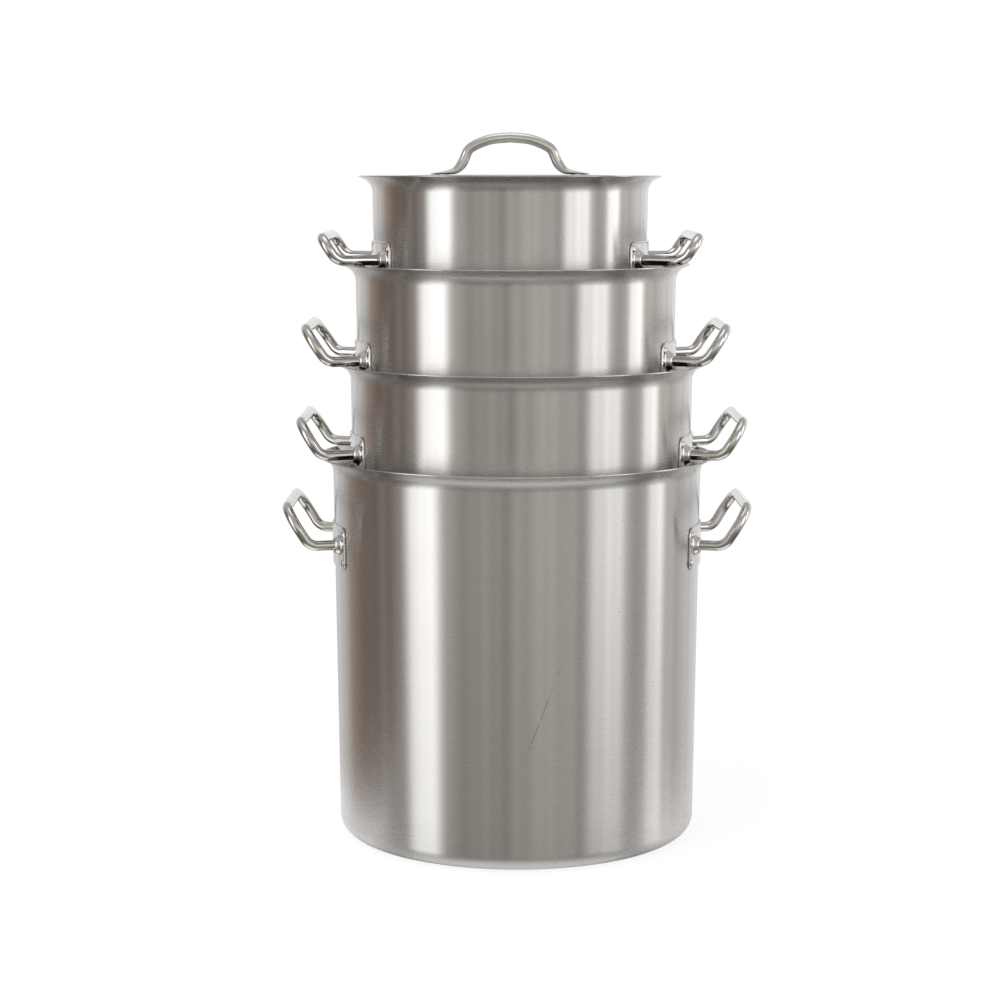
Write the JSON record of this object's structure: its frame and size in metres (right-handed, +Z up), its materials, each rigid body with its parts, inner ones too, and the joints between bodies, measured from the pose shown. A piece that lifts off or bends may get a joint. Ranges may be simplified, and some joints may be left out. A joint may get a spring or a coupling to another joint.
{
  "type": "nested stockpot set",
  "caption": "Nest of stainless steel stockpots with flared lips and riveted bar handles; each hangs in the next larger one, and a lid with an arched bar handle closes the innermost.",
  "frame": {"origin": "middle of the largest pot's base, on the surface that it stands on", "axes": "+Z up along the pots' axes, +X towards the right handles as pictured, +Y away from the camera"},
  "size_m": [0.407, 0.3486, 0.6177],
  "materials": {
    "brushed_sheet": "fine brushing round the wall",
    "polished_bar": "polished"
  },
  "bodies": {
    "largest_pot": {"largest_pot_left_bracket": "polished_bar", "largest_pot_left_handle": "polished_bar", "largest_pot_left_rivet_back_bottom": "polished_bar", "largest_pot_left_rivet_back_top": "polished_bar", "largest_pot_left_rivet_front_bottom": "polished_bar", "largest_pot_left_rivet_front_top": "polished_bar", "largest_pot_right_bracket": "polished_bar", "largest_pot_right_handle": "polished_bar", "largest_pot_right_rivet_back_bottom": "polished_bar", "largest_pot_right_rivet_back_top": "polished_bar", "largest_pot_right_rivet_front_bottom": "polished_bar", "largest_pot_right_rivet_front_top": "polished_bar", "largest_pot_shell": "brushed_sheet"},
    "large_pot": {"large_pot_left_bracket": "polished_bar", "large_pot_left_handle": "polished_bar", "large_pot_left_rivet_back_bottom": "polished_bar", "large_pot_left_rivet_back_top": "polished_bar", "large_pot_left_rivet_front_bottom": "polished_bar", "large_pot_left_rivet_front_top": "polished_bar", "large_pot_right_bracket": "polished_bar", "large_pot_right_handle": "polished_bar", "large_pot_right_rivet_back_bottom": "polished_bar", "large_pot_right_rivet_back_top": "polished_bar", "large_pot_right_rivet_front_bottom": "polished_bar", "large_pot_right_rivet_front_top": "polished_bar", "large_pot_shell": "brushed_sheet"},
    "medium_pot": {"medium_pot_left_bracket": "polished_bar", "medium_pot_left_handle": "polished_bar", "medium_pot_left_rivet_back_bottom": "polished_bar", "medium_pot_left_rivet_back_top": "polished_bar", "medium_pot_left_rivet_front_bottom": "polished_bar", "medium_pot_left_rivet_front_top": "polished_bar", "medium_pot_right_bracket": "polished_bar", "medium_pot_right_handle": "polished_bar", "medium_pot_right_rivet_back_bottom": "polished_bar", "medium_pot_right_rivet_back_top": "polished_bar", "medium_pot_right_rivet_front_bottom": "polished_bar", "medium_pot_right_rivet_front_top": "polished_bar", "medium_pot_shell": "brushed_sheet"},
    "small_pot": {"small_pot_left_bracket": "polished_bar", "small_pot_left_handle": "polished_bar", "small_pot_left_rivet_back_bottom": "polished_bar", "small_pot_left_rivet_back_top": "polished_bar", "small_pot_left_rivet_front_bottom": "polished_bar", "small_pot_left_rivet_front_top": "polished_bar", "small_pot_right_bracket": "polished_bar", "small_pot_right_handle": "polished_bar", "small_pot_right_rivet_back_bottom": "polished_bar", "small_pot_right_rivet_back_top": "polished_bar", "small_pot_right_rivet_front_bottom": "polished_bar", "small_pot_right_rivet_front_top": "polished_bar", "small_pot_shell": "brushed_sheet"},
    "lid": {"lid_handle": "polished_bar", "lid_plate": "brushed_sheet", "lid_rivet_left_inner": "polished_bar", "lid_rivet_left_outer": "polished_bar", "lid_rivet_right_inner": "polished_bar", "lid_rivet_right_outer": "polished_bar"}
  },
  "joints": [
    {"name": "large_pot_lift", "type": "slide", "parent": "largest_pot", "child": "large_pot", "axis": [0, 0, 1], "range_m": [0, 0.24]},
    {"name": "medium_pot_lift", "type": "slide", "parent": "large_pot", "child": "medium_pot", "axis": [0, 0, 1], "range_m": [0, 0.215]},
    {"name": "small_pot_lift", "type": "slide", "parent": "medium_pot", "child": "small_pot", "axis": [0, 0, 1], "range_m": [0, 0.185]},
    {"name": "lid_lift", "type": "slide", "parent": "small_pot", "child": "lid", "axis": [0, 0, 1], "range_m": [0, 0.1]}
  ]
}
